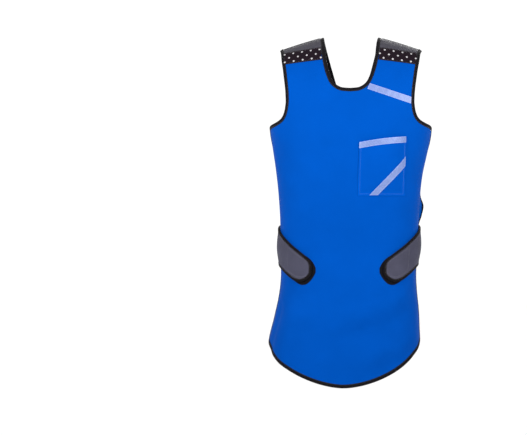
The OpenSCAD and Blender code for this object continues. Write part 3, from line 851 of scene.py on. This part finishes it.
def yoke_lining(name, side):
    rows, f = np.linspace(0, len(YOKE_ROWS), 70), np.linspace(0, 1, 23)
    outer, inner = (yoke_grid(side, rows, f, depth, True) for depth in (LINING_D, STACK_T))
    return shell_piece(name + "_yoke_lining_cloth", outer, inner, yoke_lining_cloth)


FOAM_INSET = 0.12
FOAM_ROWS = (0.35, 6.8)
FOAM_FRAMES = 20
FOAM_VOXEL = 1.4
FOAM_MOVE = 0.6
FOAM_PRESSURE = 4


def shoulder_foam(name, side):
    """Foam pad in a yoke: starts thin and is blown up by a cloth simulation with pressure."""
    rows, f = np.linspace(*FOAM_ROWS, 46), np.linspace(FOAM_INSET, 1 - FOAM_INSET, 19)
    row, across = pairs(rows, f[::side])
    rim = np.sin(np.pi * (row - rows[0]) / (rows[-1] - rows[0])) ** 0.3
    rim = rim * np.sin(np.pi * (across - f[0]) / (f[-1] - f[0])) ** 0.3
    rim = np.clip(rim, 0.0, 1.0)
    a, z = yoke_place(side, row, across)
    top, bottom = SHIELD1_D + 0.5, LINING_D - LAYER_GAP - 0.5 + swell(row, across)
    middle = (top + bottom) / 2
    outer, inner = (cloth(a, z, -mix(middle, face, mix(0.35, 1, rim))) for face in (top, bottom))
    return shell_piece(name + "_shoulder_foam_pad", outer, inner, pad_foam)


DOT_PITCH = 25.3
DOT_RADIUS = 2.8
# Rows of dots: height as a share of the band's width, distance of the first one, number of dots
DOT_ROWS = {"left": [(0.83, 87, 5), (0.5, 99, 4), (0.17, 86, 5)],
            "right": [(0.83, 97, 4), (0.5, 85, 5), (0.17, 97, 4)]}


def dot_band(name, side):
    """Strip of dark webbing with three staggered rows of raised pale dots."""
    shape = Shape()

    def place(f, v):
        x, z = side * mix(mix(81, 86, v), 188, f), mix(mix(-64, -78, f), mix(-29, -45, f), v)
        return front_angle(x, z), z

    v, f = pairs(np.linspace(0, 1, 15), np.linspace(0, 1, 41)[::side])
    a, z = place(f, v)
    thick = 0.9 - 0.35 * np.abs(2 * v - 1) ** 6
    add_shell(shape, cloth(a, z, 0.6 + thick), cloth(a, z, 0.6))
    for height, first, count in DOT_ROWS[name]:
        for k in range(count):
            share = (first + k * DOT_PITCH - 84) / (188 - 84)
            add_dot(shape, *place(np.array(share), np.array(height)), 1.5, DOT_RADIUS)
    for v_line in (0.05, 0.95):
        f_line = np.linspace(0.01, 0.99, 60)
        sew(shape, *place(f_line, np.full(60, v_line)), 1.35, 2)
    return shape.piece(name + "_dot_band_webbing", [dark_webbing, dot_print, black_thread])


def add_dot(shape, a, z, lift, radius):
    """A low round dome printed on the cloth."""
    centre, up = cloth(a, z, lift), cloth_normal(a, z)
    beside = unit(np.cross(up, np.array([0.0, 0.0, 1.0])))
    ahead = np.cross(up, beside)
    points, threes, fours = [centre + up * 0.5 * MM], [], []
    rings = ((0.45, 0.46), (0.8, 0.36), (1, 0.1), (1, -0.15))
    for share, height in rings:
        for k in range(16):
            turn = k * math.pi / 8
            spread = (beside * math.cos(turn) + ahead * math.sin(turn)) * share * radius
            points.append(centre + (spread + up * height) * MM)
    points.append(centre - up * 0.15 * MM)
    bottom = 1 + (len(rings) - 1) * 16
    for k in range(16):
        following = (k + 1) % 16
        threes.append([0, 1 + k, 1 + following])
        threes.append([bottom + k, len(points) - 1, bottom + following])
        for low in range(1, bottom, 16):
            fours.append([low + k, low + 16 + k, low + 16 + following, low + following])
    shape.add(np.array(points), [threes, fours], np.zeros((len(points), 3)), 1)


def shoulder_seam(name, side):
    """Narrow tape along the top of a shoulder, sewn down along both edges."""
    shape = Shape()
    t, f = pairs(np.linspace(2.4, -2.4, 9), np.linspace(0, 1, 50)[::side])
    x = side * mix(NECK_HALF + BINDING_W + 1, SHOULDER_HALF - BINDING_W - 1, f)
    a, z = shoulder_place(x, t)
    crown = 0.9 - 0.3 * np.abs(t / 2.4) ** 4
    add_shell(shape, cloth(a, z, 0.3 + crown), cloth(a, z, 0.3))
    for edge in (1.7, -1.7):
        a, z = shoulder_place(x[0], np.full(50, edge))
        add_stitches(shape, cloth(a, z, 1.2), np.tile([[0.0, 0.0, 1.0]], (50, 1)), 1)
    return shape.piece(name + "_shoulder_seam_tape", [black_tape, black_thread])


def back_place(x, z):
    return 180 - front_angle(x, z), z


def back_panel_piece():
    shape = Shape()
    z, f = pairs(np.linspace(-559, -250.4, 80), np.linspace(1, -1, 41))
    a, z = back_place(f * smooth(BACK_HALVES, z), z)
    add_shell(shape, cloth(a, z, 0), cloth(a, z, -STACK_T))
    f = np.linspace(-0.9, 0.9, 40)
    for line_z in (-253.5, -262):
        sew(shape, *back_place(f * smooth(BACK_HALVES, line_z), np.full(40, line_z)), 0.25, 1)
    return shape.piece("back_panel_cloth", [grey_yoke, grey_thread])


# Points nearer together than this are dropped, because a folded tape can't turn on them
NECK_STEP_MIN = 1.2


def neck_edge():
    """Places round the neck opening: over the left yoke, the right one, then the front."""
    over = np.linspace(0.5, len(YOKE_ROWS), 70)
    down = np.linspace(NECK_ROW, len(ROWS) - 1, 45)
    parts = [yoke_place(-1, over, 0.0), yoke_place(1, over[::-1], 0.0),
             panel_place(1, down[::-1], 0.0), panel_place(-1, down[1:], 0.0)]
    a, z = (np.concatenate(values) for values in zip(*parts))
    return a % 360, z


def neck_binding_piece():
    """The neckline crosses the front's middle, so its angles are kept apart at 0 and 360."""
    a, z = neck_edge()
    a = np.where(a > 270, a - 360, a)
    steps = np.linalg.norm(np.diff(cloth(a, z, 0), axis=0), axis=1)
    keep = np.concatenate([[True], steps > NECK_STEP_MIN * MM])
    return bound_edge("neck_binding_tape", a[keep], z[keep], closed=True)


def strap_edge(side):
    rows = np.linspace(0, len(YOKE_ROWS), 110)
    a, z = yoke_place(side, rows, 1.0)
    low = np.linspace(-254, -530, 60)
    low_a, low_z = back_place(side * smooth(BACK_HALVES, low), low)
    a, z = np.concatenate([a, low_a]), np.concatenate([z, low_z])
    return (a, z) if side > 0 else (a[::-1], z[::-1])


yokes, linings, foams, bands, seams, straps = {}, {}, {}, {}, {}, {}
for name, side in SIDES.items():
    yokes[name] = shoulder_yoke(name, side)
    linings[name] = yoke_lining(name, side)
    foams[name] = shoulder_foam(name, side)
    bands[name] = dot_band(name, side)
    seams[name] = shoulder_seam(name, side)
    straps[name] = bound_edge(name + "_strap_binding_tape", *strap_edge(side))
back_panel = back_panel_piece()
neck_binding = neck_binding_piece()

# ---- Belt ----


def off_front(a):
    """Angle from the front, the same on both sides."""
    return np.minimum(np.abs(a), 360 - np.abs(a))


def belt_lift(a):
    """Height of the webbing's inner face along its edges."""
    return mix(BELT_LIFT, BACK_BELT_LIFT, np.clip((off_front(a) - 110) / 40, 0, 1))


def belt_crown(a, v):
    """Outward bow of the webbing between its edges, greatest at the wearer's sides."""
    bow = 0.7 + BELT_SLACK * np.exp(-(((off_front(a) - BELT_BOW_ANGLE) / BELT_BOW_SPREAD) ** 2))
    return bow * np.sin(np.pi * np.clip(v, 0, 1)) ** 1.3


def belt_place(a, v):
    """Wrap angle and height, a fraction v of the way from the belt's lower edge to its upper."""
    b = off_front(a)
    return a, mix(smooth(BELT_LOWERS, b), smooth(BELT_UPPERS, b), v)


def belt_points(a, v, d):
    """Points d above the webbing's inner face."""
    return cloth(*belt_place(a, v), belt_lift(a) + belt_crown(a, v) + d)


def webbing(angles):
    """A length of belt webbing over increasing wrap angles."""
    shape = Shape()
    v, a = pairs(np.linspace(0, 1, 21), angles)
    outer = belt_points(a, v, BELT_T)
    coords = cloth_coords(outer, base_row=10)
    coords[..., 0] += np.radians(angles[0]) * 0.15
    coords[..., 2] = np.minimum(coords[..., 1] - coords[:1, :, 1], coords[-1:, :, 1] - coords[..., 1])
    add_shell(shape, outer, belt_points(a, v, 0), coords)
    return shape


def belt_binding(name, lines):
    """Bindings along lines of [wrap angle, fraction up the width]."""
    shape = Shape()
    for a, v in lines:
        across = belt_points(a, np.ones(len(a)), 0) - belt_points(a, np.zeros(len(a)), 0)
        across = unit(across) * np.where(v > 0.5, 1, -1)[:, None]
        place_a, place_z = belt_place(a, v)
        add_binding(shape, place_a, place_z, belt_lift(a) + BELT_T, BELT_T, BELT_BINDING_W,
                    cuts=(across[0], across[-1]), stitch=1)
    return shape.piece(name, [black_tape, black_thread])


def strips(angles):
    return [(angles[::-1], np.ones(len(angles))), (angles, np.zeros(len(angles)))]


def tip_line(side, angles):
    """Line round the rounded end of a belt, from the upper edge to the lower one."""
    end = np.linspace(1, 0, 7)
    a = np.concatenate([angles[::-1], np.full(5, angles[0]), angles])
    v = np.concatenate([np.ones(len(angles)), end[1:-1], np.zeros(len(angles))])
    return (side * a, v) if side > 0 else (side * a[::-1], v[::-1])


def crowded(first, last, count, even_share):
    """Angles that lie closer together towards the first one."""
    f = np.linspace(0, 1, count)
    return mix(first, last, even_share * f + (1 - even_share) * f**2)


tip_start, side_split, back_split = BELT_SPLITS
tip_angles = crowded(tip_start, side_split, 46, 0.35)
side_angles = np.linspace(side_split, back_split, 26)
back_angles = np.linspace(back_split, 360 - back_split, 90)


def ordered(side, angles):
    return angles if side > 0 else -angles[::-1]


def bend(piece, side, ends):
    """Bakes a belt piece's placement into its mesh. The webbing's middle is found at both ends of the given
    stretch of wrap angle but is not used, and the piece does not bend.
    """
    middle = [belt_points(np.array(float(side * a)), np.array(0.5), BELT_T / 2) for a in ends]
    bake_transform(piece)


def sew_belt(shape, a, v):
    """Stitches on the outside of the webbing."""
    add_stitches(shape, belt_points(a, v, BELT_T + 0.05), cloth_normal(*belt_place(a, v)), 1)


def belt_tip_piece(name, side):
    """The end of a belt, sewn to its hook pad along three sides."""
    shape = webbing(ordered(side, tip_angles))
    inset = tip_angles[(tip_angles > HOOK_PAD_ANGLES[0] - 2.5) & (tip_angles < HOOK_PAD_ANGLES[1] + 1)]
    for v in (0.16, 0.84):
        sew_belt(shape, side * inset, np.full(len(inset), v))
    sew_belt(shape, np.full(20, side * (HOOK_PAD_ANGLES[1] + 0.5)), np.linspace(0.17, 0.83, 20))
    return shape.piece(name + "_belt_end_webbing", [grey_webbing, grey_thread])


def hook_pad_piece(name, side):
    angles = ordered(side, np.linspace(*HOOK_PAD_ANGLES, 30))
    v, a = pairs(np.linspace(0.14, 0.86, 15), angles)
    return shell_piece(name + "_hook_pad_pile", belt_points(a, v, -0.2), belt_points(a, v, -1.4), pad_pile)


def loop_pad_piece(name, side):
    angles = ordered(side, crowded(PAD_UPPERS[0][0], PAD_UPPERS[-1][0], 40, 0.3))
    v, a = pairs(np.linspace(0, 1, 21), angles)
    z = mix(smooth(PAD_LOWERS, np.abs(a)), smooth(PAD_UPPERS, np.abs(a)), v)
    thick = 1.2 - 0.5 * np.abs(2 * v - 1) ** 8
    return shell_piece(name + "_loop_pad_pile", cloth(a, z, 0.4 + thick), cloth(a, z, 0.4), pad_pile)


back_belt = webbing(back_angles).piece("back_belt_webbing", [grey_webbing])
back_belt_tape = belt_binding("back_belt_binding_tape", strips(back_angles))
belts = {}
for name, side in SIDES.items():
    wrap = webbing(ordered(side, side_angles)).piece(name + "_belt_side_webbing", [grey_webbing])
    wrap_tape = belt_binding(name + "_belt_side_binding_tape", strips(ordered(side, side_angles)))
    tip = belt_tip_piece(name, side)
    tip_tape = belt_binding(name + "_belt_tip_binding_tape", [tip_line(side, tip_angles)])
    belts[name] = (wrap, wrap_tape, tip, tip_tape, hook_pad_piece(name, side), loop_pad_piece(name, side))

# ---- Pocket and reflective tapes ----


def mouth_z(x):
    f = (x - POCKET_X[0]) / (POCKET_X[1] - POCKET_X[0])
    return mix(-300, -283, f) + 3 * np.sin(np.pi * f)


def gape(x, z):
    """Clearance behind the pocket: none along its sewn sides, widest at the mouth."""
    f = np.clip((x - POCKET_X[0]) / (POCKET_X[1] - POCKET_X[0]), 0, 1)
    g = np.clip((z - POCKET_BOTTOM) / (mouth_z(x) - POCKET_BOTTOM), 0, 1)
    return POCKET_GAPE * np.maximum(0, np.sin(np.pi * f)) ** 0.6 * (1 - (1 - g) ** 3)


def on_front(x, z, d):
    return cloth(front_angle(x, z), z, d)


def pocket_piece():
    shape = Shape()
    v, f = pairs(np.linspace(0, 1, 61), np.linspace(0, 1, 51))
    x = mix(*POCKET_X, f)
    z = mix(POCKET_BOTTOM, mouth_z(x), v)
    near = np.minimum(np.minimum(f, 1 - f) * POCKET_SPAN[0], v * POCKET_SPAN[1])
    hem = 0.55 * np.exp(-((near - 3.2) / 1.8) ** 2)
    add_shell(shape, on_front(x, z, gape(x, z) + 1.3 + hem), on_front(x, z, gape(x, z) + 0.3))
    run = np.linspace(0, 1, 60)
    inset = 5.5
    left, right = POCKET_X[0] + inset, POCKET_X[1] - inset
    low = POCKET_BOTTOM + inset
    lines = [(np.full(60, left), mix(low, mouth_z(left) - 2, run)), (mix(left, right, run), np.full(60, low)),
             (np.full(60, right), mix(low, mouth_z(right) - 2, run))]
    for x, z in lines:
        sew(shape, front_angle(x, z), z, gape(x, z) + 1.55, 1, thick=0.7)
    return shape.piece("pocket_panel_cloth", [pocket_cloth, blue_thread])


def tape_piece(name, corners, lift, follow, cols=60, rows=13):
    """Reflective tape between four corners, given as [x, z] at u, v of 00, 10, 01 and 11."""
    shape = Shape()
    p00, p10, p01, p11 = (np.array(c, float) for c in corners)

    def place(u, v):
        u, v = np.asarray(u)[..., None], np.asarray(v)[..., None]
        xz = mix(mix(p00, p10, u), mix(p01, p11, u), v)
        return follow(xz[..., 0], xz[..., 1], v[..., 0])

    v, u = pairs(np.linspace(0, 1, rows), np.linspace(0, 1, cols))
    x, z, rise = place(u, v)
    ripple = 0.3 * np.sin(u * 19) * np.sin(np.pi * v) + 0.25 * np.sin(u * 43 + 1.3) * v * (1 - v) * 4
    add_shell(shape, on_front(x, z, rise + lift + 0.55 + ripple), on_front(x, z, rise + lift + 0.1))
    for edge in (0.09, 0.91):
        run = np.linspace(0.015, 0.985, 60)
        x, z, rise = place(run, np.full(60, edge))
        sew(shape, front_angle(x, z), z, rise + lift + 0.72, 1, pitch=3.4, length=2.3)
    return shape.piece(name, [silver_tape, white_thread])


def with_gape(x, z, v):
    return x, z, gape(x, z)


def under_mouth(x, z, v):
    z = mouth_z(x) - 1 - (1 - v) * (TAPE_W - 3)
    return x, z, gape(x, z)


def flat_on_chest(x, z, v):
    return x, z, np.zeros_like(x)


low_edge, right_edge = POCKET_BOTTOM + 2, POCKET_X[1] - 1
pocket = pocket_piece()
pocket_tape = tape_piece("pocket_tape_strip", [(28, 0), (right_edge, 0), (28, 1), (right_edge, 1)],
                         1.75, under_mouth)
diagonal_tape = tape_piece("diagonal_tape_strip", [(83, low_edge), (right_edge, -368),
                                                   (60, low_edge), (right_edge, -341)], 1.75, with_gape)
chest_tape = tape_piece("chest_tape_strip", [(50, -147.5), (174, -189.5), (57, -132), (175, -171)],
                        0.4, flat_on_chest)

# ---- Foam by cloth simulation ----


def remeshed(piece, size_mm):
    """Applies a voxel remesh, so that the simulation has even faces."""
    remesh = piece.modifiers.new("Remesh", "REMESH")
    remesh.mode = "VOXEL"
    remesh.voxel_size = size_mm * MM


def apply_modifiers(piece):
    graph = bpy.context.evaluated_depsgraph_get()
    made = bpy.data.meshes.new_from_object(piece.evaluated_get(graph), depsgraph=graph)
    piece.modifiers.clear()
    piece.data = made


def blow_up(piece):
    """Fills a pad by a cloth simulation with pressure and no gravity, then caps each move."""
    materials = list(piece.data.materials)
    remeshed(piece, FOAM_VOXEL)
    apply_modifiers(piece)
    start = np.array([v.co for v in piece.data.vertices])
    soft = piece.modifiers.new("Cloth", "CLOTH")
    soft.settings.use_pressure = True
    soft.settings.uniform_pressure_force = FOAM_PRESSURE
    soft.settings.effector_weights.gravity = 0
    soft.settings.quality = 4
    soft.point_cache.frame_start, soft.point_cache.frame_end = 1, FOAM_FRAMES
    scene = bpy.context.scene
    for number in range(1, FOAM_FRAMES + 1):
        scene.frame_set(number)
    apply_modifiers(piece)
    scene.frame_set(1)
    end = np.array([v.co for v in piece.data.vertices])
    move = end - start
    length = np.linalg.norm(move, axis=1, keepdims=True)
    end = start + move * np.minimum(1, FOAM_MOVE * MM / np.maximum(length, 1e-9))
    piece.data.vertices.foreach_set("co", end.astype(np.float32).ravel())
    piece.data.materials.clear()
    for material in materials:
        piece.data.materials.append(material)
    piece.data.shade_smooth()


for pad in foams.values():
    blow_up(pad)

# ---- Which piece goes with which body and node ----

APRON = "apron"


def belongs(piece, node, body=APRON):
    """Hides the CAD part named node, and attaches the piece to its body unless body is None."""
    if body is not None:
        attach(piece, body)
    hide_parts(node)


belongs(outer_cover, "outer_cover")
belongs(shield_outer, "shield_sheet_outer")
belongs(shield_inner, "shield_sheet_inner")
belongs(inner_lining, "inner_lining")
belongs(perimeter, "perimeter_binding")
belongs(neck_binding, "neck_binding")
belongs(back_panel, "back_panel")
belongs(back_belt, "back_belt")
belongs(back_belt_tape, "back_belt_binding")
belongs(pocket, "pocket_panel")
belongs(pocket_tape, "pocket_tape")
belongs(diagonal_tape, "diagonal_tape")
belongs(chest_tape, "chest_tape")
for name, side in SIDES.items():
    belongs(yokes[name], name + "_shoulder_yoke")
    belongs(linings[name], name + "_yoke_lining")
    belongs(foams[name], name + "_shoulder_foam")
    belongs(bands[name], name + "_dot_band")
    belongs(seams[name], name + "_shoulder_seam")
    belongs(straps[name], name + "_strap_binding")
    wrap, wrap_tape, tip, tip_tape, hook_pad, loop_pad = belts[name]
    belt_side, belt_tip = name + "_belt_side", name + "_belt_tip"
    belongs(wrap, belt_side, None)
    belongs(wrap_tape, belt_side + "_binding", None)
    belongs(tip, belt_tip, None)
    belongs(tip_tape, belt_tip + "_binding", None)
    belongs(hook_pad, name + "_hook_pad", None)
    belongs(loop_pad, name + "_loop_pad")
    for piece in (wrap, wrap_tape):
        bend(piece, side, SIDE_BEND)
    for piece in (tip, tip_tape, hook_pad):
        bend(piece, side, TIP_BEND)

# ---- Floor, light and camera ----

FLOOR_DROP = 0.35


def plain_floor():
    """Wide pale floor, well below the hem."""
    shape = Shape()
    radii = np.concatenate([[0.001], np.geomspace(0.4, 60, 24)])
    turn = np.linspace(0, 2 * np.pi, 73)
    low = cad_box[0].z - FLOOR_DROP
    grid = np.stack([radii[:, None] * np.cos(turn), radii[:, None] * np.sin(turn),
                     np.full((25, 73), low)], -1)
    shape.add(grid, [quads(np.arange(25 * 73).reshape(25, 73))], np.zeros((25 * 73, 3)))
    material = bpy.data.materials.new("pale_floor")
    material.use_nodes = True
    shader = material.node_tree.nodes["Principled BSDF"]
    shader.inputs["Base Color"].default_value = (0.94, 0.94, 0.94, 1)
    shader.inputs["Roughness"].default_value = 0.8
    floor = shape.piece("floor", [material])


def area_light(name, place, target, size, power):
    data = bpy.data.lights.new(name, "AREA")
    data.shape, data.size, data.energy = "DISK", size, power
    light = bpy.data.objects.new(name, data)
    light.location = place
    light.rotation_mode = "QUATERNION"
    light.rotation_quaternion = (Vector(target) - Vector(place)).to_track_quat("-Z", "Y")
    bpy.context.scene.collection.objects.link(light)


def studio():
    world = bpy.data.worlds.new("studio")
    world.use_nodes = True
    world.node_tree.nodes["Background"].inputs["Color"].default_value = (1, 1, 1, 1)
    world.node_tree.nodes["Background"].inputs["Strength"].default_value = 1.08
    bpy.context.scene.world = world
    bpy.context.scene.view_settings.view_transform = "Standard"
    area_light("front_left", (-1.05, -1.1, 0.02), (0, 0, -0.2), 0.9, 63)
    area_light("front_right", (0.95, -1.1, 0.02), (0, 0, -0.2), 0.9, 58)
    area_light("back", (0.3, 1.5, 0.4), (0, 0, -0.3), 1.2, 60)


VIEW_LENS = 600
VIEW_DISTANCE = 3.576 * VIEW_LENS / 85
VIEW_YAW = math.radians(1.5)
VIEW_HEIGHT = -0.516
VIEW_SIDEWAYS = 0.2515


def camera():
    """Long lens, level, aimed to one side so that the apron stands right of the middle."""
    data = bpy.data.cameras.new("camera")
    data.lens, data.sensor_width = VIEW_LENS, 36
    made = bpy.data.objects.new("camera", data)
    back = Vector((math.sin(VIEW_YAW), -math.cos(VIEW_YAW), 0))
    right = Vector((math.cos(VIEW_YAW), math.sin(VIEW_YAW), 0))
    made.location = back * VIEW_DISTANCE + Vector((0, 0, VIEW_HEIGHT))
    target = Vector((0, 0, VIEW_HEIGHT)) - right * VIEW_SIDEWAYS
    made.rotation_mode = "QUATERNION"
    made.rotation_quaternion = (target - made.location).to_track_quat("-Z", "Y")
    bpy.context.scene.collection.objects.link(made)
    bpy.context.scene.camera = made


plain_floor()
studio()
camera()
